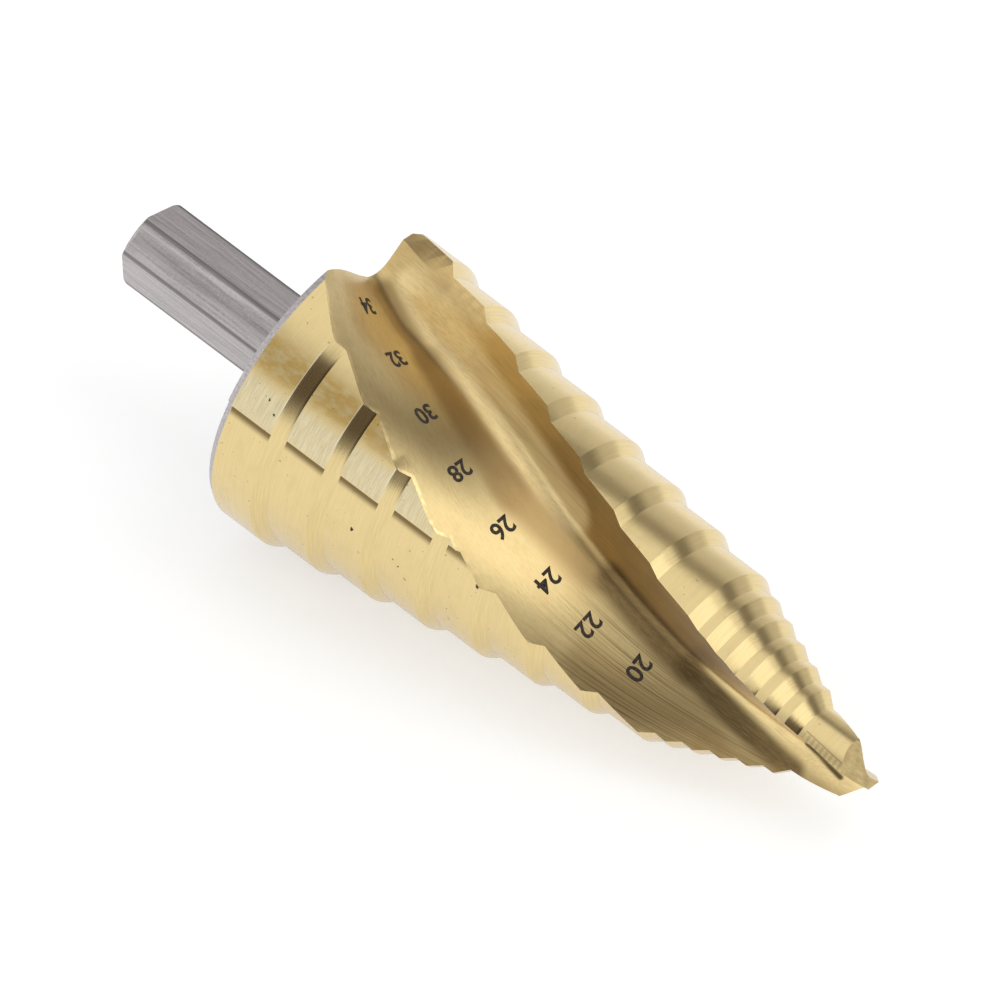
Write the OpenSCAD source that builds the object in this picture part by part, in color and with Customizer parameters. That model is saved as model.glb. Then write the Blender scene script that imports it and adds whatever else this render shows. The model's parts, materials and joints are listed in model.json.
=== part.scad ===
// Step drill: a stepped cone with two helical flutes on a three-flat shank, ground from one bar.
// Lengths are in millimetres and angles in degrees.
// The drill is made point up along +Z, with its collar's back face at 0, and then laid on its side.

/* [Steps] */
// Diameter of the first step after the pilot
first_d = 10; // [8:0.5:14]
// Growth in diameter from one step to the next
step_growth = 2; // [1.5:0.25:2.5]
// Number of steps with a long land
long_steps = 8; // [5:1:10]
// Number of steps with a short land, next to the pilot
short_steps = 5; // [3:1:7]
// Length of a long land
long_land = 5; // [3:0.5:8]
// Length of a short land
short_land = 1.2; // [0.8:0.1:3]
// Length of the chamfer that leads up to each step
chamfer_l = 1.4; // [0.8:0.1:2]
// Length of the collar, the land of the largest step
collar_l = 5.9; // [3:0.1:10]
// Length of the bevel on the collar's back edge
back_bevel_l = 0.8; // [0.1:0.1:1.5]
// Depth of the bevel on the collar's back edge
back_bevel_d = 0.5; // [0.1:0.1:1]

/* [Pilot and point] */
// Diameter of the pilot, which starts the hole
pilot_d = 7.4; // [5:0.2:8]
// Length of the pilot up to the corners of its lips
pilot_l = 6.2; // [4:0.2:15]
// Angle between the two lips of the point
point_angle = 126; // [110:2:140]
// Angle from a lip back to where its flank falls away most steeply
flank_turn = 54; // [30:2:60]
// Angle by which a flute opens wider along the pilot, to split the point
point_open = 27; // [15:1:35]
// Length over which it does so
point_open_l = 5; // [3:0.5:6]

/* [Relief] */
// Fall of the radius over half a turn, which frees the land behind its cutting edge
land_relief = 0.3; // [0.1:0.05:0.6]
// Angle from the cutting edge at the collar's back to the line where the relief starts again
relief_start = 112; // [100:1:118]

/* [Flutes] */
// Length over which a flute makes one whole turn
flute_lead = 259; // [200:1:400]
// Angle that a flute opens over at the end of the collar
flute_open_back = 65; // [50:1:75]
// Angle that a flute opens over where the long steps end
flute_open_front = 92; // [80:1:100]
// Angle by which the flute closes towards the collar's back face
flute_runout = 9; // [0:1:12]
// Width of the strip ground along the cutting edge at the collar
strip_w = 2.4; // [1:0.2:3]
// Lean of that strip from the radius at the collar's back
strip_lean = 52; // [30:2:60]
// Length over which the strip turns into the cutting face
strip_l = 15; // [8:1:25]
// Lean of the cutting face from the radius at the collar's back
face_lean_back = 0; // [-3:1:5]
// Lean of the cutting face from the radius once the flute is deep
face_lean = 8; // [3:1:14]
// Lean of the heel wall from the square to the radius at the collar's back
heel_lean_back = 4; // [0:1:8]
// Lean of the heel wall from the square to the radius once the flute is deep
heel_lean = 13; // [8:1:18]
// Height of the crown of the heel wall at the collar
heel_crown = 0.45; // [0:0.05:0.8]
// Length over which the flute grows deep from the collar's back
deepen_l = 25; // [15:1:40]
// Radius of the flute's bottom at the collar
bottom_r_back = 2.6; // [2:0.1:3.5]
// Radius of the flute's bottom at the point
bottom_r_front = 0.9; // [0.6:0.1:1.5]

/* [Shank] */
// Diameter of the shank
shank_d = 9.5; // [8:0.5:13]
// Length of the shank
shank_l = 23; // [15:1:50]
// Depth of each of the three flats
flat_depth = 0.9; // [0.3:0.1:1.2]
// Radius of the round on the end of the shank
shank_round = 0.5; // [0.2:0.1:1]
// Angle from the cutting edge at the collar's back to the first flat
flat_turn = 30; // [0:5:115]

/* [Rest] */
// Angle from the cutting edge at the collar's back to the side that the drill lies on
rest_turn = 225.3; // [200:0.1:250]

/* [Hidden] */

steps = long_steps + short_steps;
step_fall = step_growth / 2;
// How far a cut runs past the face that it goes out of
cut_past = 1;

// Length of the land of step k, counted from the collar, which is step 0
function land_of(k) = k == 0 ? collar_l : k < long_steps ? long_land : short_land;
// Place of the front edge of step k
function edge_z(k) = k == 0 ? collar_l : edge_z(k - 1) + chamfer_l + land_of(k);
// Radius of step k, with the pilot after the last step
function step_r(k) = k < steps ? first_d / 2 + (steps - 1 - k) * step_fall : pilot_d / 2;

collar_r = step_r(0);
pilot_r = step_r(steps);
pilot_z = edge_z(steps - 1) + chamfer_l;
lip_z = pilot_z + pilot_l;
tip_z = lip_z + pilot_r / tan(point_angle / 2);
long_end_z = edge_z(long_steps - 1);

// Outline of one half turn, from the axis out and up to the point
outline = concat(
    [[0, 0], [collar_r - back_bevel_d, 0], [collar_r, back_bevel_l]],
    [for (k = [0:steps - 1]) each [[step_r(k), edge_z(k)], [step_r(k + 1), edge_z(k) + chamfer_l]]],
    [[pilot_r, tip_z], [0, tip_z]]
);

// Radius of the cone that the front edges of the steps lie on
function envelope_r(z) =
    z <= collar_l ? collar_r :
    z <= long_end_z ? collar_r - (z - collar_l) * step_fall / (long_land + chamfer_l) :
    max(pilot_r, step_r(long_steps - 1) - (z - long_end_z) * step_fall / (short_land + chamfer_l));

// Turn of the cutting edge at height z
function edge_turn(z) = 360 * z / flute_lead;

// Value that changes evenly from one end of a stretch that starts at 0 to the other
function between(from, to, z, l) = from + (to - from) * min(1, max(0, z / l));

// Angle between the cutting edge and the heel at height z
open_bend = 1.3;
function open_angle(z) =
    z <= collar_l
    ? flute_open_back - flute_runout * (collar_l - z) / collar_l
    : flute_open_back + (flute_open_front - flute_open_back)
        * pow(min(1, (z - collar_l) / (long_end_z - collar_l)), open_bend)
        + between(0, point_open, z - pilot_z, point_open_l);

function turned(p, a) = [p[0] * cos(a) - p[1] * sin(a), p[0] * sin(a) + p[1] * cos(a)];

// Points from p to q, without q, with a crown of height h on the left that is highest near p
function crowned(p, q, h, facets) =
    let (along = q - p, left = [-along[1], along[0]] / norm(along))
    [for (i = [0:facets - 1])
        let (t = i / facets)
        p + t * along + 27 / 4 * h * t * (1 - t) * (1 - t) * left];

// Section of a flute at height z: the strip, the cutting face, the round bottom and the heel wall.
// The cutting edge lies on the X axis before the section is turned along the helix.
face_facets = 3;
bottom_facets = 8;
wall_facets = 6;
flute_reach = 1.6 * collar_r;
function flute_section(z) =
    let (
        r = envelope_r(z),
        open = open_angle(z),
        round_r = between(bottom_r_back, bottom_r_front, z, lip_z),
        lean = between(face_lean_back, face_lean, z, deepen_l),
        wall_lean = between(heel_lean_back, heel_lean, z, deepen_l),
        edge = [r, 0],
        heel = r * [cos(open), sin(open)],
        strip_in = turned([-1, 0], -between(strip_lean, face_lean, z, strip_l)),
        face_in = turned([-1, 0], -lean),
        wall_in = turned([0, -1], wall_lean),
        face_start = edge + strip_w * r / collar_r * strip_in,
        // The corner where the cutting face and the heel wall would meet
        cross_fw = face_in[0] * wall_in[1] - face_in[1] * wall_in[0],
        gap = heel - face_start,
        along_face = (gap[0] * wall_in[1] - gap[1] * wall_in[0]) / cross_fw,
        corner = face_start + along_face * face_in,
        // The bottom touches both sides
        half_corner = (90 - wall_lean + lean) / 2,
        middle = corner + round_r / sin(half_corner) * turned(-face_in, half_corner),
        from_angle = -90 - lean,
        to_angle = -180 + wall_lean,
        bottom = [for (i = [0:bottom_facets])
            middle + round_r * turned([1, 0], from_angle + (to_angle - from_angle) * i / bottom_facets)],
        wall = crowned(heel, bottom[bottom_facets], heel_crown * r / collar_r, wall_facets),
        outer_edge = edge - flute_reach * strip_in,
        outer_heel = heel - flute_reach * wall_in
    )
    [for (p = concat(
        [outer_edge, edge],
        crowned(face_start, bottom[0], 0, face_facets),
        bottom,
        [for (i = [wall_facets - 1:-1:0]) wall[i]],
        [outer_heel, (outer_edge + outer_heel) / 2]))
        turned(p, edge_turn(z))];

// Solid that one flute removes, lofted through its sections
flute_pitch = 1.5;
flute_l = tip_z + 2 * cut_past;
flute_slices = ceil(flute_l / flute_pitch);
module flute_space() {
    heights = [for (i = [0:flute_slices]) -cut_past + flute_l * i / flute_slices];
    sections = [for (z = heights) flute_section(z)];
    n = len(sections[0]);
    points = [for (i = [0:flute_slices]) for (p = sections[i]) [p[0], p[1], heights[i]]];
    sides = [for (i = [0:flute_slices - 1]) for (j = [0:n - 1])
        let (a = i * n + j, b = i * n + (j + 1) % n)
        each [[a, b, a + n], [b, b + n, a + n]]];
    start_cap = [for (j = [0:n - 3]) [n - 1, j + 1, j]];
    top = flute_slices * n;
    end_cap = [for (j = [0:n - 3]) [top + n - 1, top + j, top + j + 1]];
    polyhedron(points, concat(sides, start_cap, end_cap), convexity = 6);
}

// One half turn of the stepped body, slid along its parting line
module half_body(turn) {
    rotate([0, 0, turn])
        translate([land_relief / 2, 0, 0])
            rotate_extrude(angle = -180, $fn = 120)
                polygon(outline);
}

// What one flank of the point grinds away: all that lies above a plane through the tip
flank_fall = atan(1 / tan(point_angle / 2) / cos(flank_turn));
module flank_cut() {
    rotate([0, 0, edge_turn(lip_z) - flank_turn])
        translate([0, 0, tip_z])
            rotate([0, flank_fall, 0])
                translate([-collar_r, -collar_r, 0])
                    cube([2 * collar_r, 2 * collar_r, collar_r]);
}

module fluted_body() {
    difference() {
        union() {
            half_body(relief_start);
            half_body(relief_start + 180);
        }
        for (turn = [0, 180])
            rotate([0, 0, turn]) {
                flute_space();
                flank_cut();
            }
    }
}

// Round shank with three flats and a rounded end, which reaches a little into the collar
shank_r = shank_d / 2;
module shank() {
    difference() {
        translate([0, 0, -shank_l])
            rotate_extrude($fn = 96)
                union() {
                    square([shank_r - shank_round, shank_l + back_bevel_l]);
                    translate([0, shank_round])
                        square([shank_r, shank_l + back_bevel_l - shank_round]);
                    translate([shank_r - shank_round, shank_round])
                        circle(r = shank_round, $fn = 48);
                }
        for (i = [0:2])
            rotate([0, 0, flat_turn + 120 * i])
                translate([shank_r - flat_depth, -shank_r, -shank_l - cut_past])
                    cube([shank_r, shank_d, shank_l + cut_past]);
    }
}

// How far the land at height z reaches towards the ground from the axis.
// Where a flute faces the ground, the nearer of its cutting edge and its heel does it.
function ground_reach(r, z) =
    let (
        past_edge = (rest_turn - edge_turn(z)) % 180,
        off = past_edge > open_angle(z) ? 0 : min(past_edge, open_angle(z) - past_edge),
        side = past_edge < open_angle(z) / 2 ? -1 : 1,
        relief_turn = (relief_start - rest_turn - side * off + 360) % 180
    )
    (r + land_relief / 2 * cos(relief_turn)) * cos(off);

// The drill lies on the collar's back and on the step that lets it tip forward least
back_reach = ground_reach(collar_r, back_bevel_l);
rest_tilt = atan(min([for (k = [1:steps - 1])
    (back_reach - ground_reach(step_r(k), edge_z(k))) / (edge_z(k) - back_bevel_l)]));
lift = back_reach * cos(rest_tilt) + back_bevel_l * sin(rest_tilt);
// Middle of its length as it lies, between the shank's end and the tip
back_x = -(shank_l - shank_round) * cos(rest_tilt) - (shank_r - shank_round) * sin(rest_tilt) - shank_round;
middle_x = (back_x + tip_z * cos(rest_tilt)) / 2;

module step_drill() {
    translate([-middle_x, 0, lift])
        rotate([0, 90 + rest_tilt, 0])
            rotate([0, 0, -rest_turn]) {
                color([0.87, 0.78, 0.52]) fluted_body();
                color([0.66, 0.63, 0.63]) shank();
            }
}

step_drill();
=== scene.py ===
"""Looks of a step drill: its gold coat, bare steel, step numbers and studio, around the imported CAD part."""

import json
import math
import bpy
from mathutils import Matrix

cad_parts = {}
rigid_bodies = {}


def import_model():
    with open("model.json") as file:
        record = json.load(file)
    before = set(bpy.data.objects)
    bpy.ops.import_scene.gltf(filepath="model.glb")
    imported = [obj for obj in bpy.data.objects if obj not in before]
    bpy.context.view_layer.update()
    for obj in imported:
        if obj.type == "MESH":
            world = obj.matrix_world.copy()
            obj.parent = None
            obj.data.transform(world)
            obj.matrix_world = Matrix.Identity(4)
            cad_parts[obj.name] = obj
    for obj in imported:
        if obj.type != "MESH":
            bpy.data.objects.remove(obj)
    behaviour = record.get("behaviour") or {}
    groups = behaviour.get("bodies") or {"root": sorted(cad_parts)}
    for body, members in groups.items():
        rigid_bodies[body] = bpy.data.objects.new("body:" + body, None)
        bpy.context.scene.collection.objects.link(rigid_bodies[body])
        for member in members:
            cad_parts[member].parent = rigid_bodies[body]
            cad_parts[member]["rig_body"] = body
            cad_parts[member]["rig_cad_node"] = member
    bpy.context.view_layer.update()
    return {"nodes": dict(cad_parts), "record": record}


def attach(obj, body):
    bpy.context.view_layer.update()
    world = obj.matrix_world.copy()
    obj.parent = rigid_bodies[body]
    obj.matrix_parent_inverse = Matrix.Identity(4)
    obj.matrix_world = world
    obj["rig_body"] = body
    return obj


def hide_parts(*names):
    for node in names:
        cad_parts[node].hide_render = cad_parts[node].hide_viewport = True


bl_info = {
    "name": "Step drill finish",
    "version": (1, 0, 0),
    "blender": (4, 5, 0),
    "location": "3D View > Sidebar > Step drill",
    "description": "Coats a packed step drill, marks the sizes of its steps and sets up its studio",
    "category": "Object",
}

import bpy
from mathutils import Matrix, Vector

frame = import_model()
NODE = "step_drill"
BODY_NAME = "coated_drill"
MM = 0.001


# Sizes and colours that a user may change


class DrillSizes(bpy.types.PropertyGroup):
    """Sizes of the drill that its looks follow, as in the CAD part."""

    collar_radius: bpy.props.FloatProperty(
        name="Collar radius", description="Radius of the largest step", default=0.017, unit="LENGTH")
    pilot_radius: bpy.props.FloatProperty(
        name="Pilot radius", description="Radius of the pilot", default=0.0037, unit="LENGTH")
    step_fall: bpy.props.FloatProperty(
        name="Fall per step", description="Change in radius from one step to the next",
        default=0.001, unit="LENGTH")
    collar_length: bpy.props.FloatProperty(
        name="Collar length", description="Length of the land of the largest step",
        default=0.0059, unit="LENGTH")
    long_pitch: bpy.props.FloatProperty(
        name="Long pitch", description="Distance between the edges of the long steps",
        default=0.0064, unit="LENGTH")
    short_pitch: bpy.props.FloatProperty(
        name="Short pitch", description="Distance between the edges of the short steps",
        default=0.0026, unit="LENGTH")
    chamfer_length: bpy.props.FloatProperty(
        name="Chamfer length", description="Length of the chamfer between two steps",
        default=0.0014, unit="LENGTH")
    long_steps: bpy.props.IntProperty(
        name="Long steps", description="Number of steps with a long land", default=8)
    short_steps: bpy.props.IntProperty(
        name="Short steps", description="Number of steps with a short land", default=5)
    back_bevel: bpy.props.FloatProperty(
        name="Back bevel", description="Length of the bare bevel behind the collar",
        default=0.0008, unit="LENGTH")
    back_bevel_depth: bpy.props.FloatProperty(
        name="Back bevel depth", description="Depth of that bevel", default=0.0005, unit="LENGTH")
    shank_radius: bpy.props.FloatProperty(
        name="Shank radius", description="Radius of the shank", default=0.00475, unit="LENGTH")
    flat_distance: bpy.props.FloatProperty(
        name="Flat distance", description="Distance from the axis to each of the shank's flats",
        default=0.00385, unit="LENGTH")
    flute_lead: bpy.props.FloatProperty(
        name="Flute lead", description="Length over which a flute makes one turn",
        default=0.259, unit="LENGTH")
    relief_turn: bpy.props.FloatProperty(
        name="Relief turn", description="Angle at which the relief of a land starts again",
        default=math.radians(112), subtype="ANGLE")
    flat_turn: bpy.props.FloatProperty(
        name="Flat turn", description="Angle of the shank's first flat",
        default=math.radians(30), subtype="ANGLE")
    number_size: bpy.props.FloatProperty(
        name="Number size", description="Size of the step numbers", default=0.0026, unit="LENGTH")
    mark_thickness: bpy.props.FloatProperty(
        name="Mark thickness", description="Thickness of the laser marks", default=0.00004, unit="LENGTH")


class CoatLooks(bpy.types.PropertyGroup):
    """Colours and gloss of the coat, of the bare steel and of the marks, with the darker coats that paint the
    flutes' shade.
    """

    coat: bpy.props.FloatVectorProperty(
        name="Coat", description="Colour of the gold coat", subtype="COLOR", size=3,
        default=(0.80, 0.63, 0.31))
    # Painted shade: the flute's wall is given a darker coat than the lands
    shaded_wall_coat: bpy.props.FloatVectorProperty(
        name="Wall coat", description="Colour of the coat on the flute's wall", subtype="COLOR", size=3,
        default=(0.50, 0.39, 0.19))
    # Painted shade: the cutting face is given a darker coat than the lands
    shaded_face_coat: bpy.props.FloatVectorProperty(
        name="Face coat", description="Colour of the coat on the cutting face", subtype="COLOR", size=3,
        default=(0.72, 0.53, 0.235))
    # Painted shade in the flutes' valleys, the slot behind each lip, the start of the relief and the
    # chamfers' feet; also the colour of specks, lines and clouds in the coat
    shade_and_speck_brown: bpy.props.FloatVectorProperty(
        name="Valley coat", description="Colour of the coat at the flute's bottom", subtype="COLOR", size=3,
        default=(0.27, 0.18, 0.075))
    stain: bpy.props.FloatVectorProperty(
        name="Heat stain", description="Colour of the coat where heat has stained it",
        subtype="COLOR", size=3, default=(0.66, 0.41, 0.09))
    # Also the colour of the painted highlights along the edges of the lands and chamfers
    worn_and_highlight: bpy.props.FloatVectorProperty(
        name="Worn coat", description="Colour of the coat where it is rubbed thin", subtype="COLOR", size=3,
        default=(0.80, 0.72, 0.50))
    steel: bpy.props.FloatVectorProperty(
        name="Steel", description="Colour of the bare steel", subtype="COLOR", size=3,
        default=(0.44, 0.41, 0.41))
    mark: bpy.props.FloatVectorProperty(
        name="Mark", description="Colour of the laser marks", subtype="COLOR", size=3,
        default=(0.032, 0.025, 0.019))
    land_roughness: bpy.props.FloatProperty(
        name="Land roughness", description="Roughness of the ground lands", default=0.23, subtype="FACTOR")
    chamfer_roughness: bpy.props.FloatProperty(
        name="Chamfer roughness", description="Roughness of the chamfers", default=0.16, subtype="FACTOR")
    flute_roughness: bpy.props.FloatProperty(
        name="Flute roughness", description="Roughness of the ground flutes", default=0.3, subtype="FACTOR")
    point_roughness: bpy.props.FloatProperty(
        name="Point roughness", description="Roughness of the point's flanks", default=0.42, subtype="FACTOR")
    steel_roughness: bpy.props.FloatProperty(
        name="Steel roughness", description="Roughness of the bare steel", default=0.33, subtype="FACTOR")
    edge_sheen: bpy.props.FloatProperty(
        name="Edge sheen", description="Strength of the pale sheen where a surface turns away",
        default=0.6, subtype="FACTOR")


class StudioSettings(bpy.types.PropertyGroup):
    """Camera, room and lamps."""

    camera_distance: bpy.props.FloatProperty(
        name="Camera distance", description="Distance from the camera to the drill",
        default=4.0, unit="LENGTH")
    picture_width: bpy.props.FloatProperty(
        name="Picture width", description="Width of the picture at the drill", default=0.0985, unit="LENGTH")
    world_level: bpy.props.FloatProperty(
        name="Room level", description="Level of the light that comes from all round", default=0.88)
    lamp_power: bpy.props.FloatProperty(
        name="Lamp power", description="Power of which each lamp gives its share", default=0.8, unit="POWER")


# Where the drill lies


def drill_place():
    """Matrix of the drill's own frame: +Z from the collar's back to the tip, +X to the cutting edge there."""
    mounts = {mount["name"]: mount for mount in frame["record"]["mounts"]}
    tip_way = -Vector(mounts["shank"]["axis"]).normalized()
    flat_way = Vector(mounts["shank_flat_1"]["axis"])
    flat_way = (flat_way - flat_way.dot(tip_way) * tip_way).normalized()
    sizes = bpy.context.scene.drill_sizes
    edge_way = Matrix.Rotation(-sizes.flat_turn, 3, tip_way) @ flat_way
    shank = mounts["shank"]
    place = Matrix((edge_way, tip_way.cross(edge_way), tip_way)).transposed().to_4x4()
    place.translation = Vector(shank["pos_m"]) + tip_way * shank["dims"]["length_mm"] * MM / 2
    return place


# Materials

SHEEN_ROUGHNESS = 0.3
SHEEN_TINT = (1.0, 0.93, 0.92, 1.0)
# Depth of the lines that grinding leaves in the flutes and elsewhere, in metres
FLUTE_LINES = 0.000012
GRINDING_LINES = 0.00001


class Graph:
    """Adds shader nodes to a node tree and joins them."""

    def __init__(self, tree):
        self.tree = tree

    def add(self, kind, inputs=(), output=0, **settings):
        """Adds a node, gives it its settings and inputs, and returns one of its outputs."""
        node = self.tree.nodes.new(kind)
        for key, value in settings.items():
            setattr(node, key, value)
        for socket, value in dict(inputs).items():
            self.give(node.inputs[socket], value)
        return node.outputs[output]

    def give(self, socket, value):
        if isinstance(value, bpy.types.NodeSocket):
            self.tree.links.new(value, socket)
        else:
            socket.default_value = value

    def end(self, kind, surface):
        """Gives a shader out of the tree."""
        self.give(self.tree.nodes.new(kind).inputs["Surface"], surface)

    def math(self, operation, *values):
        return self.add("ShaderNodeMath", dict(enumerate(values)), operation=operation)

    def product(self, first, *others):
        for value in others:
            first = self.math("MULTIPLY", first, value)
        return first

    def inverse(self, value):
        return self.math("SUBTRACT", 1.0, value)

    def radius(self, x, y):
        """Distance from the axis."""
        return self.math("SQRT", self.math("ADD", self.product(x, x), self.product(y, y)))

    def vector(self, operation, *values, output="Vector"):
        return self.add("ShaderNodeVectorMath", dict(enumerate(values)), output, operation=operation)

    def stretched(self, vector, x, y, z):
        return self.vector("MULTIPLY", vector, (x, y, z))

    def parts(self, vector):
        return self.add("ShaderNodeSeparateXYZ", {0: vector}).node.outputs

    def rise(self, value, low, high):
        """0 below low and 1 above high, with a soft change between them."""
        return self.add("ShaderNodeMapRange", {0: value, 1: low, 2: high, 3: 0.0, 4: 1.0},
                        interpolation_type="SMOOTHSTEP", clamp=True)

    def fall(self, value, low, high):
        """1 below low and 0 above high, with a soft change between them."""
        return self.inverse(self.rise(value, low, high))

    def mix(self, share, first, second):
        """The first colour where share is 0 and the second where it is 1."""
        first, second = (value if isinstance(value, bpy.types.NodeSocket) else (*value, 1.0)
                         for value in (first, second))
        return self.add("ShaderNodeMix", {0: share, 6: first, 7: second}, 2, data_type="RGBA")

    def noise(self, vector, detail=2.0, roughness=0.5):
        return self.add("ShaderNodeTexNoise",
                        {"Vector": vector, "Scale": 1.0, "Detail": detail, "Roughness": roughness})

    def drill_point(self):
        """The point on the drill in its own frame, in millimetres."""
        place = drill_place()
        return self.add("ShaderNodeMapping", {
            "Vector": self.add("ShaderNodeTexCoord", output="Object"), "Location": place.translation,
            "Rotation": place.to_euler(), "Scale": (MM, MM, MM)}, vector_type="TEXTURE")

    def unwound(self, point):
        """The point turned back along the flutes. There each runs straight, with its cutting edge along X."""
        lead = bpy.context.scene.drill_sizes.flute_lead / MM
        turn = self.math("MULTIPLY", self.parts(point)[2], -math.tau / lead)
        return self.add("ShaderNodeVectorRotate", {"Vector": point, "Angle": turn}, rotation_type="Z_AXIS")

    def paired(self, point, split):
        """The point on the drill's first half that is like this one. The halves part at the angle split."""
        side = self.math("SIGN", self.vector(
            "DOT_PRODUCT", point, (-math.sin(split), math.cos(split), 0), output="Value"))
        both = self.add("ShaderNodeCombineXYZ", {0: side, 1: side, 2: 1.0})
        return self.vector("MULTIPLY", point, both)

    def near_line(self, point, start, end, full, none):
        """1 within the distance full of the line from start to end, and 0 beyond the distance none."""
        start, end = Vector(start), Vector(end)
        along = end - start
        offset = self.vector("SUBTRACT", point, start)
        share = self.math("MULTIPLY", self.vector("DOT_PRODUCT", offset, along, output="Value"),
                          1 / along.length_squared)
        share = self.math("MINIMUM", self.math("MAXIMUM", share, 0.0), 1.0)
        shares = self.add("ShaderNodeCombineXYZ", {0: share, 1: share, 2: share})
        foot = self.vector("MULTIPLY", shares, along)
        return self.fall(self.vector("DISTANCE", offset, foot, output="Value"), full, none)

    def near_point(self, point, centre, full, none):
        """1 within the distance full of the centre, and 0 beyond the distance none."""
        return self.fall(self.vector("DISTANCE", point, centre, output="Value"), full, none)

    def seen_directly(self):
        """1 for the rays that see a thing itself, in gloss or through it, and 0 for those that light it."""
        path = self.add("ShaderNodeLightPath").node.outputs
        mirrored = self.math("MAXIMUM", path["Is Camera Ray"], path["Is Glossy Ray"])
        return self.math("MAXIMUM", mirrored, path["Is Transmission Ray"])


class Finish(Graph):
    """Graph of the material of one of the drill's finishes."""

    def __init__(self, name):
        self.material = bpy.data.materials.new(name)
        self.material.use_nodes = True
        super().__init__(self.material.node_tree)
        self.shader = self.tree.nodes["Principled BSDF"]

    def set(self, **values):
        for key, value in values.items():
            self.give(self.shader.inputs[key.replace("_", " ")], value)

    def metal(self, tone, roughness):
        looks = bpy.context.scene.coat_looks
        self.set(Base_Color=tone, Metallic=1.0, Roughness=roughness, Sheen_Weight=looks.edge_sheen,
                 Sheen_Roughness=SHEEN_ROUGHNESS, Sheen_Tint=SHEEN_TINT)

    def bump(self, height, distance):
        """distance is in metres."""
        self.set(Normal=self.add("ShaderNodeBump", {"Height": height, "Distance": distance, "Strength": 1.0}))


def empty_graph(owner):
    """Graph of a new material or world, with no nodes in it."""
    owner.use_nodes = True
    owner.node_tree.nodes.clear()
    return Graph(owner.node_tree)


def shade(colour, level):
    return tuple(part * level for part in colour)


def turns(*degrees):
    return tuple(math.radians(angle) for angle in degrees)


# Zones of the lands by the start of their relief. A zone comes in or goes out over a turn, counted from the
# cutting edge at the collar's back, and fades over a height above that back, in millimetres
STAIN_IN, STAIN_OUT, STAIN_FADE = turns(81, 86), turns(93, 98), (14.0, 22.0)
BRUSHED_IN, BRUSHED_FADE = turns(96, 101), (20.0, 34.0)
# Turns and heights of the painted highlight along the lands' edges
EDGE_HIGHLIGHT_IN, EDGE_HIGHLIGHT_OUT, EDGE_HIGHLIGHT_FADE = turns(74, 82), math.radians(100), (30.0, 44.0)
# Heights over which the painted shade at the start of the relief fades
RELIEF_SHADE_FADE = (24.0, 46.0)
# Turn over which the brushed zone ends
RELIEF_LINE = 0.01

# The like halves of the flutes part at this angle, once the flutes are unwound
FLUTE_SPLIT = math.radians(-30)
# Ribbed strip behind each lip, in the unwound frame in millimetres: its side, the line of painted shade
# before that side, its reach to the axis and down the drill, and the pitch of its ribs
STRIP_SIDE, STRIP_SHADE_LINE, STRIP_REACH, STRIP_END = (-0.8, -0.7), (-0.95, -0.82), (0.0, 0.5), (65.4, 65.8)
RIB_PITCH = 0.62

# Small pits in the coat, in the drill's frame in millimetres, with the radius of each
LAND_PITS = (
    ((-9.50, 11.42, 16.95), 0.22), ((-9.87, 9.73, 22.52), 0.13), ((-9.6, 10.0, 21.8), 0.09),
    ((-10.61, 7.29, 28.41), 0.12), ((-6.71, 10.96, 31.18), 0.2), ((3.08, 4.05, 62.48), 0.16),
    ((-3.62, 16.75, 4.16), 0.16), ((-4.53, 16.53, 5.41), 0.13),
)
# How far their outlines stray, in millimetres
PIT_RAGGEDNESS = 0.6


def height_over_edge(g, height):
    """Height over the front edge of the last step, and the pitch of the steps there."""
    sizes = bpy.context.scene.drill_sizes
    first = sizes.collar_length / MM
    long_pitch, short_pitch = sizes.long_pitch / MM, sizes.short_pitch / MM
    last_long = first + long_pitch * (sizes.long_steps - 1)
    over_long = g.math("FLOORED_MODULO", g.math("SUBTRACT", height, first), long_pitch)
    over_short = g.math("FLOORED_MODULO", g.math("SUBTRACT", height, last_long), short_pitch)
    short = g.math("GREATER_THAN", height, last_long)
    over = g.math("ADD", g.product(over_long, g.inverse(short)), g.product(over_short, short))
    pitch = g.math("ADD", long_pitch, g.math("MULTIPLY", short, short_pitch - long_pitch))
    return over, pitch


def depth_below_land(g, point, height):
    """How far a point lies inside the long steps' lands and chamfers, in millimetres."""
    sizes = bpy.context.scene.drill_sizes
    x, y, _ = g.parts(point)
    over, _ = height_over_edge(g, height)
    last_edge = g.math("SUBTRACT", g.math("SUBTRACT", height, sizes.collar_length / MM), over)
    passed = g.math("DIVIDE", last_edge, sizes.long_pitch / MM)
    down = g.math("MINIMUM", g.math("DIVIDE", over, sizes.chamfer_length / MM), 1.0)
    fallen = g.math("MULTIPLY", g.math("ADD", passed, down), sizes.step_fall / MM)
    return g.math("SUBTRACT", g.math("SUBTRACT", sizes.collar_radius / MM, fallen), g.radius(x, y))


def painted_light_turns(g, angle):
    """1 over the turns where the lands' edges get a painted highlight and the chamfers' feet painted shade,
    up to the start of the relief.
    """
    relief = bpy.context.scene.drill_sizes.relief_turn
    return g.product(g.rise(angle, *EDGE_HIGHLIGHT_IN), g.fall(angle, EDGE_HIGHLIGHT_OUT, relief))


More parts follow.
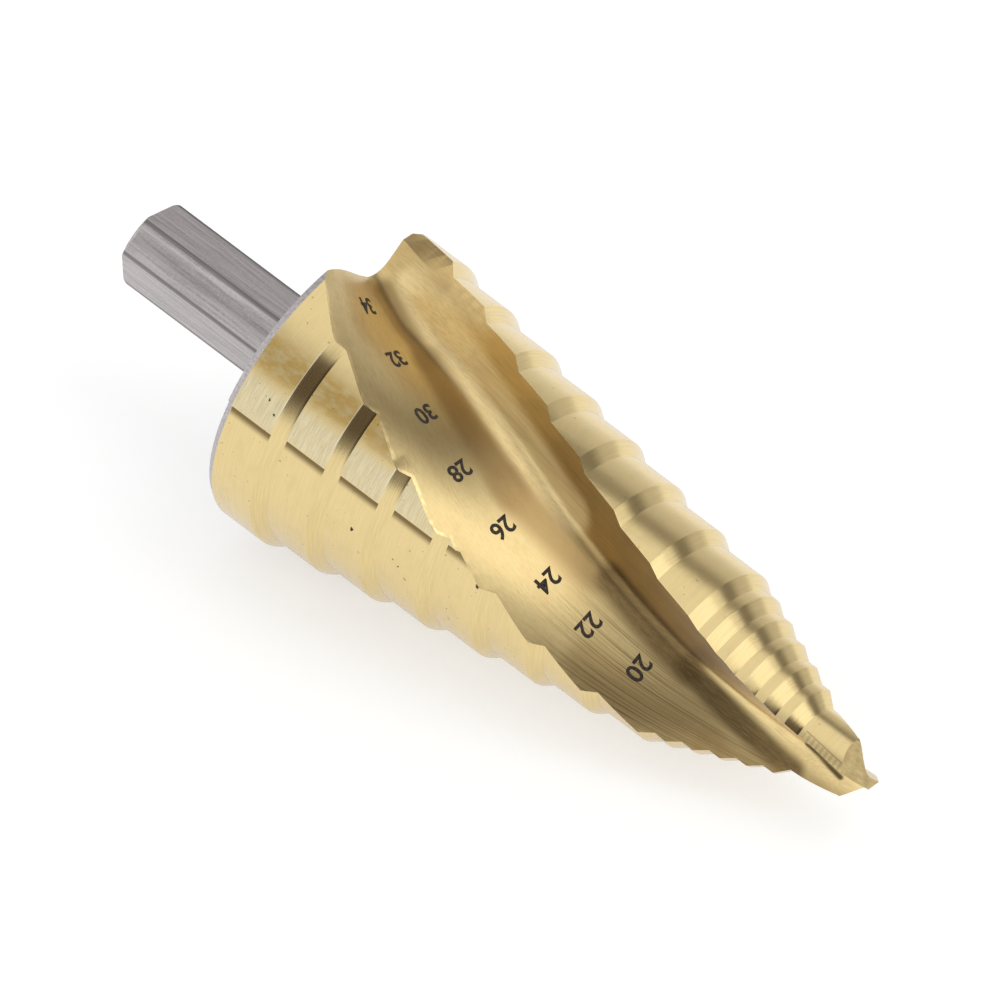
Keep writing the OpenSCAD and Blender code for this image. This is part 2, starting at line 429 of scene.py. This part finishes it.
def relief_zones(g, point, tone):
    """Adds the brushed zone, the heat stain, painted shade at the start of the relief and a painted highlight
    along the lands' upper edges.
    """
    looks, sizes = bpy.context.scene.coat_looks, bpy.context.scene.drill_sizes
    x, y, z = g.parts(g.paired(point, 0.0))
    angle = g.math("ARCTAN2", y, x)

    brushed = g.product(g.rise(angle, *BRUSHED_IN), g.fall(z, *BRUSHED_FADE),
                        g.fall(angle, sizes.relief_turn - RELIEF_LINE, sizes.relief_turn))
    strokes = g.rise(g.noise(g.stretched(point, 0.5, 0.5, 8.0), 4.0, 0.7), 0.35, 0.65)
    tone = g.mix(g.product(brushed, 0.65), tone, g.mix(strokes, shade(looks.worn_and_highlight, 0.72), tuple(looks.worn_and_highlight)))

    stained = g.product(g.rise(angle, *STAIN_IN), g.fall(angle, *STAIN_OUT), g.fall(z, *STAIN_FADE))
    mottle = g.noise(g.stretched(point, 1.6, 1.6, 0.7), 3.0)
    tone = g.mix(g.product(stained, g.rise(mottle, 0.3, 0.65), 0.75), tone, tuple(looks.stain))
    tone = g.mix(g.product(stained, g.rise(mottle, 0.6, 0.75), 0.3), tone, tuple(looks.worn_and_highlight))

    # Painted shade just past the start of the relief
    past = g.product(g.math("SUBTRACT", angle, sizes.relief_turn), g.radius(x, y))
    start = g.product(g.rise(past, 0.0, 0.06), g.fall(past, 0.35, 1.25), g.fall(z, *RELIEF_SHADE_FADE))
    tone = g.mix(g.product(start, 0.92), tone, shade(looks.shade_and_speck_brown, 0.6))

    # Painted highlight along the upper edge of each land
    over, pitch = height_over_edge(g, z)
    edge_highlight = g.product(g.rise(g.math("SUBTRACT", over, pitch), -0.16, -0.05), g.rise(z, 0.9, 1.0),
                       painted_light_turns(g, angle), g.fall(z, *EDGE_HIGHLIGHT_FADE))
    return g.mix(g.product(edge_highlight, 0.7), tone, shade(looks.worn_and_highlight, 1.2))


def lip_strip(g, point, tone):
    """Adds the ribbed strip behind each lip, with a line of painted shade before it."""
    looks = bpy.context.scene.coat_looks
    x, y, z = g.parts(g.paired(g.unwound(point), FLUTE_SPLIT))
    reach = g.product(g.rise(x, *STRIP_REACH), g.rise(z, *STRIP_END))
    ribs = g.rise(g.math("SINE", g.math("MULTIPLY", z, math.tau / RIB_PITCH)), -0.9, 0.9)
    strip = g.product(g.rise(y, *STRIP_SIDE), reach)
    tone = g.mix(g.product(strip, 0.8), tone, g.mix(ribs, shade(looks.coat, 0.84), shade(looks.coat, 1.12)))
    # Painted shade in a line before the strip
    line = g.product(g.rise(y, *STRIP_SHADE_LINE), g.fall(y, *STRIP_SIDE), reach)
    return g.mix(g.product(line, 0.5), tone, tuple(looks.shade_and_speck_brown))


def pits(g, point, tone):
    """Adds the pits, with ragged outlines."""
    looks = bpy.context.scene.coat_looks
    stray = g.add("ShaderNodeTexNoise", {"Vector": point, "Scale": 3.0, "Detail": 2.0}, "Color")
    ragged = g.vector("ADD", point, g.stretched(stray, *(PIT_RAGGEDNESS,) * 3))
    ragged = g.vector("SUBTRACT", ragged, (PIT_RAGGEDNESS / 2,) * 3)
    for centre, size in LAND_PITS:
        tone = g.mix(g.near_point(ragged, centre, size * 0.7, size * 1.3), tone, shade(looks.mark, 1.5))
    return tone


def land_coat():
    """Ground lands: fine rings, with the traces of grinding, heat and use, painted shade at the start of the
    relief and painted highlights on their edges.
    """
    looks = bpy.context.scene.coat_looks
    g = Finish("land_coat")
    point = g.drill_point()
    rings = g.noise(g.stretched(point, 0.2, 0.2, 14.0), 3.0, 0.6)
    clouds = g.noise(g.stretched(point, 0.5, 0.5, 0.7))
    specks = g.noise(g.stretched(point, 2.4, 2.4, 2.4), 1.0, 0.4)
    tone = g.mix(g.product(g.rise(rings, 0.35, 0.7), 0.6), tuple(looks.coat), shade(looks.coat, 0.9))
    tone = g.mix(g.product(g.rise(clouds, 0.45, 0.75), 0.35), tone, shade(looks.coat, 0.86))
    tone = relief_zones(g, point, tone)
    tone = g.mix(g.product(g.rise(specks, 0.74, 0.78), 0.55), tone, tuple(looks.shade_and_speck_brown))
    tone = lip_strip(g, point, tone)
    g.metal(pits(g, point, tone), looks.land_roughness)
    g.bump(rings, GRINDING_LINES)
    return g.material


def chamfer_coat():
    """Chamfers: glossier than the lands, with a painted highlight along the upper edge and painted shade at
    the foot.
    """
    looks, sizes = bpy.context.scene.coat_looks, bpy.context.scene.drill_sizes
    g = Finish("chamfer_coat")
    point = g.drill_point()
    x, y, z = g.parts(g.paired(point, 0.0))
    over, _ = height_over_edge(g, z)
    early = painted_light_turns(g, g.math("ARCTAN2", y, x))
    foot = sizes.chamfer_length / MM
    rings = g.noise(g.stretched(point, 0.3, 0.3, 9.0), 3.0, 0.6)
    tone = g.mix(g.rise(rings, 0.3, 0.7), tuple(looks.coat), shade(looks.coat, 0.9))
    # Painted highlight along the chamfer's upper edge
    tone = g.mix(g.product(g.fall(over, 0.08, 0.2), early, 0.6), tone, tuple(looks.worn_and_highlight))
    # Painted shade at the chamfer's foot
    tone = g.mix(g.product(g.rise(over, foot - 0.26, foot - 0.08), early, 0.6), tone,
                 shade(looks.shade_and_speck_brown, 0.6))
    g.metal(tone, looks.chamfer_roughness)
    g.bump(rings, GRINDING_LINES)
    return g.material


# Bands in a flute, the painted highlight band and the painted shade of the slot behind each lip, in its
# unwound frame in millimetres: start, end, full distance and none distance
HIGHLIGHT_BAND = ((12.6, 1.0, 4.0), (7.4, 1.0, 33.0), 1.3, 3.0)
SLOT_SHADE = ((1.3, 0.5, 65.5), (-0.8, 1.5, 69.4), 0.12, 0.5)
# The same of the bands of painted shade along the flute's valley, with the share and the level of brown
FLUTE_SHADE_BANDS = (
    ((15.0, 0.8, 0.5), (14.6, 0.8, 6.5), 0.8, 2.2, 0.35, 1.6),
    ((10.6, 2.6, 2.0), (9.0, 3.2, 11.0), 0.5, 2.0, 0.9, 1.05),
    ((9.0, 3.2, 11.0), (6.2, 4.2, 27.0), 0.9, 2.8, 0.9, 1.1),
    ((6.4, 4.2, 26.0), (4.7, 2.4, 38.0), 0.8, 3.0, 0.85, 1.05),
    ((4.6, 1.7, 40.0), (2.1, 2.2, 51.0), 0.8, 2.5, 0.92, 0.5),
    ((2.1, 2.2, 51.0), (0.0, 3.5, 65.0), 0.7, 1.9, 0.94, 0.4),
    ((1.6, 8.8, 43.0), (0.2, 6.6, 57.0), 0.8, 3.0, 0.5, 1.0),
    ((0.2, 6.4, 57.0), (-0.6, 4.4, 68.0), 0.6, 2.2, 0.5, 1.1),
)
# Width of a flute at the collar's back, in millimetres, and how fast it narrows with height
FLUTE_WIDTH = 18.0
FLUTE_NARROWING = 0.2


def flute_coat():
    """Ground flutes: lines along them, painted shade in the valley and in a slot behind each lip, a painted
    highlight band by the valley, a painted highlight along the rim near the collar and painted light on the
    face near the tip.
    """
    looks = bpy.context.scene.coat_looks
    g = Finish("flute_coat")
    flute = g.paired(g.unwound(g.drill_point()), FLUTE_SPLIT)
    _, y, z = g.parts(flute)
    lines = g.noise(g.stretched(flute, 7.0, 7.0, 0.14), 4.0, 0.6)
    clouds = g.noise(g.stretched(flute, 0.5, 0.5, 0.12))
    patches = g.noise(g.stretched(flute, 1.5, 1.5, 0.9))
    narrowing = g.math("DIVIDE", 1.0, g.math("SUBTRACT", FLUTE_WIDTH, g.product(z, FLUTE_NARROWING)))
    flow = g.vector("MULTIPLY", flute, g.add("ShaderNodeCombineXYZ", {0: narrowing, 1: narrowing, 2: 1.0}))
    coarse = g.noise(g.stretched(flow, 4.0, 75.0, 0.012), 3.0, 0.7)

    wall = g.rise(y, 0.9, 3.6)
    # The wall's painted shade is lighter near the collar's back
    wall_tone = g.mix(g.rise(z, 9.0, 22.0), shade(looks.shaded_wall_coat, 1.3), tuple(looks.shaded_wall_coat))
    tone = g.mix(wall, tuple(looks.shaded_face_coat), wall_tone)
    # Painted light on the cutting face towards the tip
    tone = g.mix(g.product(g.rise(z, 42.0, 56.0), g.inverse(wall)), tone, shade(looks.coat, 1.1))
    # Painted highlight band by the valley
    pale = g.near_line(flute, *HIGHLIGHT_BAND)
    tone = g.mix(g.product(pale, 0.95), tone, shade(looks.coat, 1.2))
    # Painted shade in bands along the valley
    for *band, share, level in FLUTE_SHADE_BANDS:
        tone = g.mix(g.product(g.near_line(flute, *band), share), tone, shade(looks.shade_and_speck_brown, level))

    scored = g.product(g.rise(coarse, 0.48, 0.6), g.rise(z, 34.0, 46.0), g.rise(y, 2.6, 4.6),
                       g.fall(z, 62.0, 68.0))
    tone = g.mix(g.product(scored, 0.7), tone, shade(looks.shade_and_speck_brown, 0.55))
    tone = g.mix(g.product(g.rise(clouds, 0.4, 0.75), 0.25), tone, shade(looks.shade_and_speck_brown, 1.6))
    tone = g.mix(g.product(g.rise(lines, 0.4, 0.7), 0.3), tone, shade(looks.shade_and_speck_brown, 1.4))
    # Painted highlight along the wall's rim near the collar
    edge_highlight = g.product(g.fall(depth_below_land(g, flute, z), 0.08, 0.2), g.rise(y, 3.0, 5.0),
                       g.fall(z, 22.0, 32.0), g.rise(patches, 0.4, 0.6))
    tone = g.mix(g.product(edge_highlight, 0.5), tone, shade(looks.coat, 1.15))
    # Painted shade in the slot behind each lip
    tone = g.mix(g.product(g.near_line(flute, *SLOT_SHADE), 0.95), tone, shade(looks.shade_and_speck_brown, 0.3))
    g.metal(tone, looks.flute_roughness)
    # The painted highlight band is partly dull, so that it keeps its light where it mirrors the darker wall
    g.set(Metallic=g.inverse(g.product(pale, 0.45)))
    g.bump(lines, FLUTE_LINES)
    return g.material


def point_coat():
    """Flanks of the point: duller, with cross scratches."""
    looks = bpy.context.scene.coat_looks
    g = Finish("point_coat")
    point = g.drill_point()
    scratches = g.noise(g.stretched(point, 6.0, 0.8, 1.0), 4.0, 0.6)
    clouds = g.noise(g.stretched(point, 0.8, 0.8, 0.8))
    tone = g.mix(g.rise(scratches, 0.35, 0.7), shade(looks.coat, 1.05), shade(looks.coat, 0.84))
    tone = g.mix(g.product(g.rise(clouds, 0.4, 0.7), 0.3), tone, shade(looks.shade_and_speck_brown, 1.6))
    g.metal(tone, looks.point_roughness)
    g.bump(scratches, GRINDING_LINES)
    return g.material


def bare_steel():
    """Bare steel: brushed along the shank, darker along the edges of its flats."""
    looks, sizes = bpy.context.scene.coat_looks, bpy.context.scene.drill_sizes
    g = Finish("bare_steel")
    point = g.drill_point()
    x, y, z = g.parts(point)
    streaks = g.noise(g.stretched(point, 3.5, 3.5, 0.12), 4.0, 0.65)
    specks = g.noise(g.stretched(point, 5.0, 5.0, 5.0), 2.0, 0.6)
    tone = g.mix(g.rise(streaks, 0.3, 0.7), shade(looks.steel, 0.78), shade(looks.steel, 1.25))
    tone = g.mix(g.product(g.rise(specks, 0.45, 0.75), 0.35), tone, shade(looks.steel, 1.6))

    third = math.tau / 3
    from_flat = g.math("SUBTRACT", g.math("ARCTAN2", y, x), sizes.flat_turn - third / 2)
    from_flat = g.math("ABSOLUTE", g.math("SUBTRACT", g.math("FLOORED_MODULO", from_flat, third), third / 2))
    edge = math.acos(sizes.flat_distance / sizes.shank_radius)
    by_edge = g.product(g.fall(g.math("ABSOLUTE", g.math("SUBTRACT", from_flat, edge)), 0.03, 0.09),
                        g.fall(z, -0.3, 0.0), g.rise(g.radius(x, y), 4.2, 4.5))
    tone = g.mix(g.product(by_edge, 0.75), tone, shade(looks.steel, 0.28))
    g.metal(tone, looks.steel_roughness)
    g.bump(streaks, GRINDING_LINES)
    return g.material


def laser_mark():
    """Dark, dull marks, slightly uneven."""
    looks = bpy.context.scene.coat_looks
    g = Finish("laser_mark")
    grain = g.noise(g.stretched(g.drill_point(), 5.0, 5.0, 5.0))
    tone = g.mix(g.rise(grain, 0.4, 0.7), tuple(looks.mark), shade(looks.mark, 2.2))
    g.set(Base_Color=tone, Roughness=0.7, Specular_IOR_Level=0.2)
    return g.material


# The drill's body


def select_none():
    bpy.ops.object.select_all(action="DESELECT")


def select_only(piece):
    select_none()
    piece.select_set(True)
    bpy.context.view_layer.objects.active = piece


LAND, CHAMFER, FLUTE, POINT, STEEL = range(5)
# Points nearer to each other than this are merged
MERGE_DISTANCE = 1e-6
# Edges sharper than this stay sharp
SMOOTH_ANGLE = math.radians(28)
# How far the relief lets a land or chamfer leave the outline
RIM_TOLERANCE = 0.25 * MM
# A face of the rim leans outward more than this
RIM_SLOPE = 0.5
# A face that leans forward more than this is a chamfer, or near the tip a flank of the point
CHAMFER_SLOPE = 0.3
FLANK_SLOPE = 0.6
FLANK_HEIGHT = 68 * MM


def step_edges(sizes):
    """Height of the front edge of each step above the collar's back, with the step's radius."""
    edge, radius, edges = sizes.collar_length, sizes.collar_radius, []
    for step in range(sizes.long_steps + sizes.short_steps):
        edges.append((edge, radius))
        edge += sizes.long_pitch if step + 1 < sizes.long_steps else sizes.short_pitch
        radius -= sizes.step_fall
    return edges


def outline_radius(sizes, height):
    """Radius of the stepped body at a height above the collar's back."""
    if height < sizes.back_bevel:
        return sizes.collar_radius - sizes.back_bevel_depth * (1 - height / sizes.back_bevel)
    edges = step_edges(sizes)
    for (edge, radius), following in zip(edges, [r for _, r in edges[1:]] + [sizes.pilot_radius]):
        if height <= edge:
            return radius
        if height < edge + sizes.chamfer_length:
            return radius + (following - radius) * (height - edge) / sizes.chamfer_length
    return sizes.pilot_radius


class STEPDRILL_OT_dress_body(bpy.types.Operator):
    """Coats the drill's body and leaves its shank and back rim bare"""

    bl_idname = "step_drill.dress_body"
    bl_label = "Coat the body"

    def execute(self, context):
        body = self.copy_node(context)
        body.data.materials.clear()
        for finish in (land_coat(), chamfer_coat(), flute_coat(), point_coat(), bare_steel()):
            body.data.materials.append(finish)
        self.share_finishes(body.data, context.scene.drill_sizes)
        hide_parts(NODE)
        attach(body, "root")
        return {"FINISHED"}

    def copy_node(self, context):
        """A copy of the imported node, without the marks that make it one."""
        node = frame["nodes"][NODE]
        body = node.copy()
        body.data = node.data.copy()
        body.name = BODY_NAME
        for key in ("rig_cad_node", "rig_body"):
            if key in body:
                del body[key]
        context.scene.collection.objects.link(body)
        select_only(body)
        bpy.ops.object.mode_set(mode="EDIT")
        bpy.ops.mesh.select_all(action="SELECT")
        bpy.ops.mesh.remove_doubles(threshold=MERGE_DISTANCE)
        bpy.ops.object.mode_set(mode="OBJECT")
        bpy.ops.mesh.customdata_custom_splitnormals_clear()
        bpy.ops.object.shade_smooth_by_angle(angle=SMOOTH_ANGLE)
        return body

    def share_finishes(self, mesh, sizes):
        """Gives each face its finish, by where it lies on the drill and which way it looks."""
        to_drill = drill_place().inverted()
        turn = to_drill.to_3x3()
        corners = [to_drill @ vertex.co for vertex in mesh.vertices]
        on_rim = [abs(math.hypot(p.x, p.y) - outline_radius(sizes, p.z)) < RIM_TOLERANCE for p in corners]
        for polygon in mesh.polygons:
            middle = to_drill @ polygon.center
            normal = turn @ polygon.normal
            radius = math.hypot(middle.x, middle.y)
            outward = (normal.x * middle.x + normal.y * middle.y) / max(radius, 1e-9)
            rim = outward > RIM_SLOPE and all(on_rim[i] for i in polygon.vertices)
            if middle.z < 1e-6 or (rim and middle.z < sizes.back_bevel):
                polygon.material_index = STEEL
            elif rim:
                polygon.material_index = CHAMFER if normal.z > CHAMFER_SLOPE else LAND
            elif normal.z > FLANK_SLOPE and middle.z > FLANK_HEIGHT:
                polygon.material_index = POINT
            else:
                polygon.material_index = FLUTE


# The picture, as ways in the frame: to the camera, and to the right as the camera sees it
TO_CAMERA = Vector((0.4545, -0.583, 0.674)).normalized()
PICTURE_RIGHT = Vector((0.754, 0.654, 0.058))
PICTURE_MIDDLE = Vector((-1.32, 0.33, 14.16)) * MM


def picture_axes():
    """Right and up in the picture."""
    right = (PICTURE_RIGHT - PICTURE_RIGHT.dot(TO_CAMERA) * TO_CAMERA).normalized()
    return right, TO_CAMERA.cross(right)


# Where the middle of each number shows in the picture of 1000 by 1000
NUMBER_PLACES = (
    ("34", 367, 305), ("32", 396, 358), ("30", 425, 413), ("28", 459, 470),
    ("26", 502, 527), ("24", 547, 580), ("22", 588, 625), ("20", 638, 668),
)
PICTURE_PIXELS = 1000
# Growth of the numbers' strokes, as a share of their size
STROKE_GROWTH = 0.02
CURVE_STEPS = 4
NUMBER_MERGE_DISTANCE = 1e-7


class STEPDRILL_OT_mark_steps(bpy.types.Operator):
    """Marks the diameter of each step on the wall of the flute"""

    bl_idname = "step_drill.mark_steps"
    bl_label = "Mark the steps"

    def execute(self, context):
        finish = laser_mark()
        sizes = context.scene.drill_sizes
        body = bpy.data.objects[BODY_NAME]
        context.view_layer.update()
        tip_way = drill_place().to_3x3() @ Vector((0, 0, 1))
        for text, across, down in NUMBER_PLACES:
            spot, normal = self.on_wall(context, body, across, down)
            up = (tip_way - tip_way.dot(normal) * normal).normalized()
            turn = Matrix((up.cross(normal), up, normal)).transposed()
            mark = self.flat_number(context, text, sizes.number_size)
            mark.matrix_world = Matrix.Translation(spot + normal * MM) @ turn.to_4x4()
            self.lay_on(mark, body, sizes.mark_thickness)
            mark.data.materials.clear()
            mark.data.materials.append(finish)
            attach(mark, "root")
        return {"FINISHED"}

    def on_wall(self, context, body, across, down):
        """Point of the wall that shows at a place of the picture, and its normal."""
        studio = context.scene.studio_settings
        right, up = picture_axes()
        scale = studio.picture_width / PICTURE_PIXELS
        target = (PICTURE_MIDDLE + right * (across - PICTURE_PIXELS / 2) * scale
                  - up * (down - PICTURE_PIXELS / 2) * scale)
        eye = PICTURE_MIDDLE + TO_CAMERA * studio.camera_distance
        found, spot, normal, _ = body.ray_cast(eye, (target - eye).normalized())
        if not found:
            raise RuntimeError("no wall at %d, %d" % (across, down))
        return spot, normal

    def flat_number(self, context, text, size):
        """A number as a flat mesh. It is made large and then scaled, which keeps its curves."""
        select_none()
        bpy.ops.object.text_add()
        curve = context.active_object.data
        curve.body = text
        curve.offset = STROKE_GROWTH
        curve.align_x = "CENTER"
        curve.align_y = "CENTER"
        curve.resolution_u = CURVE_STEPS
        curve.fill_mode = "FRONT"
        bpy.ops.object.convert(target="MESH")
        mark = context.active_object
        mark.name = "number_" + text
        mark.scale = (size,) * 3
        bpy.ops.object.transform_apply(location=False, rotation=False, scale=True)
        return mark

    def lay_on(self, mark, body, thickness):
        """Lays a number on the body's wall and gives it its thickness."""
        select_only(mark)
        bpy.ops.object.mode_set(mode="EDIT")
        bpy.ops.mesh.select_all(action="SELECT")
        bpy.ops.mesh.remove_doubles(threshold=NUMBER_MERGE_DISTANCE)
        bpy.ops.mesh.subdivide(number_cuts=1)
        bpy.ops.object.mode_set(mode="OBJECT")
        wrap = mark.modifiers.new("lay", "SHRINKWRAP")
        wrap.target = body
        wrap.wrap_method = "PROJECT"
        wrap.use_project_z = True
        wrap.use_negative_direction = True
        wrap.use_positive_direction = False
        bpy.ops.object.modifier_apply(modifier="lay")
        wall = mark.modifiers.new("thicken", "SOLIDIFY")
        wall.thickness = thickness
        wall.offset = 0.5
        bpy.ops.object.modifier_apply(modifier="thicken")
        bpy.ops.object.transform_apply(location=True, rotation=True, scale=True)


# The studio

WHITE = (1, 1, 1, 1)
FLOOR_WIDTH = 6.0
FLOOR_COLOUR = (0.5, 0.5, 0.5, 1)
# Glow that makes the floor white where it is seen
FLOOR_GLOW = 0.58

# The room's own ways: its dark cards lie along the drill in the picture
ROOM_SIDE = Vector((0.887, 0.234, -0.396))
ROOM_UP = Vector((0.074, 0.778, 0.624))
# Distance of the dark cards from the middle of the room
CARD_DISTANCE = 1.5
CARD_GLOW = {"Color": (1.0, 0.55, 0.3, 1), "Strength": 0.05}
# The cards by the camera, beside the tip and beside the shank: where each comes in and goes out up the room,
# and its share of dark
TIP_CARD = ((-0.72, -0.28), (0.09, 0.24), 0.93)
SHANK_CARD = ((-0.45, -0.27), (-0.12, 0.34), 0.5)
# Where the card beside the tip takes over from the other along the room, and where both end towards its back
CARD_CHANGE = (-0.15, 0.3)
CARD_FRONT = (0.3, 0.5)
# The card above: the tilt and the place of its front edge, where it ends there and comes in up the room, and
# its two layers, each with where it comes in from the back and its share of dark
TOP_TILT, TOP_EDGE, TOP_END, TOP_IN = 0.19, 0.22, (-0.09, 0.05), (0.15, 0.5)
TOP_LAYERS = ((-0.48, -0.2, 0.43), (-1.1, -0.5, 0.37))

# Name, place, diameter and share of the power of each lamp
LAMPS = (
    ("key_lamp", (0.27, 0.12, 0.65), 0.4, 0.75),
    ("side_lamp", (0.55, 0.1, 0.35), 0.4, 0.2),
)
LAMP_AIM = Vector((0, 0, 0.015))
SENSOR_WIDTH = 36.0


class STEPDRILL_OT_set_studio(bpy.types.Operator):
    """Sets up the floor, the soft light and the camera"""

    bl_idname = "step_drill.set_studio"
    bl_label = "Set up the studio"

    def execute(self, context):
        studio = context.scene.studio_settings
        self.make_floor()
        self.make_world(context.scene, studio)
        self.make_dark_cards()
        self.make_lamps(context.scene, studio)
        self.make_camera(context.scene, studio)
        context.scene.view_settings.view_transform = "Standard"
        return {"FINISHED"}

    def make_floor(self):
        select_none()
        bpy.ops.mesh.primitive_plane_add(size=FLOOR_WIDTH, location=(0, 0, 0))
        floor = bpy.context.active_object
        floor.name = "floor"
        material = bpy.data.materials.new("pale_floor")
        g = empty_graph(material)
        paint = g.add("ShaderNodeBsdfDiffuse", {"Color": FLOOR_COLOUR})
        glow = g.add("ShaderNodeEmission", {
            "Color": WHITE, "Strength": g.product(g.seen_directly(), FLOOR_GLOW)})
        g.end("ShaderNodeOutputMaterial", g.add("ShaderNodeAddShader", {0: paint, 1: glow}))
        floor.data.materials.append(material)

    def make_world(self, scene, studio):
        """A room that lights the drill at its own level and is white where it is seen."""
        scene.world = bpy.data.worlds.new("studio")
        g = empty_graph(scene.world)
        room = g.add("ShaderNodeBackground", {"Color": WHITE, "Strength": studio.world_level})
        white = g.add("ShaderNodeBackground", {"Color": WHITE, "Strength": 1.0})
        g.end("ShaderNodeOutputWorld",
              g.add("ShaderNodeMixShader", {0: g.seen_directly(), 1: room, 2: white}))

    def make_dark_cards(self):
        """Dark cards round the drill, which only its gloss shows: two by the camera and one above."""
        select_none()
        bpy.ops.mesh.primitive_uv_sphere_add(segments=64, ring_count=32, radius=CARD_DISTANCE)
        cards = bpy.context.active_object
        cards.name = "dark_cards"
        material = bpy.data.materials.new("dark_cards")
        g = empty_graph(material)
        way = g.vector("NORMALIZE", g.add("ShaderNodeTexCoord", output="Object"))
        up, along, near = (g.vector("DOT_PRODUCT", way, axis, output="Value")
                           for axis in (ROOM_UP, ROOM_SIDE, TO_CAMERA))
        by_tip, front = g.rise(along, *CARD_CHANGE), g.rise(near, *CARD_FRONT)
        tip_card, shank_card = (
            g.product(g.rise(up, *start), g.fall(up, *end), side, front, share)
            for (start, end, share), side in ((TIP_CARD, by_tip), (SHANK_CARD, g.inverse(by_tip))))
        behind = g.math("SUBTRACT", near, g.math("ADD", g.product(along, TOP_TILT), TOP_EDGE))
        layers = [g.product(g.rise(behind, low, high), share) for low, high, share in TOP_LAYERS]
        top_card = g.product(g.fall(behind, *TOP_END), g.rise(up, *TOP_IN), g.math("ADD", *layers))
        cover = g.inverse(g.product(g.inverse(tip_card), g.inverse(shank_card), g.inverse(top_card)))
        clear = g.add("ShaderNodeBsdfTransparent")
        dark = g.add("ShaderNodeEmission", CARD_GLOW)
        g.end("ShaderNodeOutputMaterial", g.add("ShaderNodeMixShader", {0: cover, 1: clear, 2: dark}))
        cards.data.materials.append(material)
        for ray in ("camera", "diffuse", "transmission", "shadow", "volume_scatter"):
            setattr(cards, "visible_" + ray, False)

    def make_lamps(self, scene, studio):
        for name, place, size, share in LAMPS:
            lamp = bpy.data.lights.new(name, "AREA")
            lamp.shape = "DISK"
            lamp.size = size
            lamp.energy = studio.lamp_power * share
            holder = bpy.data.objects.new(name, lamp)
            holder.location = place
            holder.rotation_euler = (LAMP_AIM - holder.location).to_track_quat("-Z", "Y").to_euler()
            scene.collection.objects.link(holder)

    def make_camera(self, scene, studio):
        camera = bpy.data.cameras.new("camera")
        holder = bpy.data.objects.new("camera", camera)
        turn = Matrix((*picture_axes(), TO_CAMERA)).transposed()
        holder.matrix_world = Matrix.Translation(
            PICTURE_MIDDLE + TO_CAMERA * studio.camera_distance) @ turn.to_4x4()
        camera.sensor_width = SENSOR_WIDTH
        camera.lens = camera.sensor_width * studio.camera_distance / studio.picture_width
        camera.clip_start = studio.camera_distance / 100
        camera.clip_end = studio.camera_distance * 10
        scene.collection.objects.link(holder)
        scene.camera = holder


class STEPDRILL_PT_finish(bpy.types.Panel):
    """Lists the steps of the drill's finish"""

    bl_idname = "STEPDRILL_PT_finish"
    bl_label = "Step drill"
    bl_space_type = "VIEW_3D"
    bl_region_type = "UI"
    bl_category = "Step drill"

    def draw(self, context):
        for kind in OPERATORS:
            self.layout.operator(kind.bl_idname)


GROUPS = (
    ("drill_sizes", DrillSizes),
    ("coat_looks", CoatLooks),
    ("studio_settings", StudioSettings),
)
OPERATORS = (STEPDRILL_OT_dress_body, STEPDRILL_OT_mark_steps, STEPDRILL_OT_set_studio)


def register():
    for name, kind in GROUPS:
        bpy.utils.register_class(kind)
        setattr(bpy.types.Scene, name, bpy.props.PointerProperty(type=kind))
    for kind in (*OPERATORS, STEPDRILL_PT_finish):
        bpy.utils.register_class(kind)


def unregister():
    for kind in (STEPDRILL_PT_finish, *reversed(OPERATORS)):
        bpy.utils.unregister_class(kind)
    for name, kind in reversed(GROUPS):
        delattr(bpy.types.Scene, name)
        bpy.utils.unregister_class(kind)


def main():
    register()
    bpy.ops.step_drill.dress_body()
    bpy.ops.step_drill.mark_steps()
    bpy.ops.step_drill.set_studio()


if __name__ == "__main__":
    main()
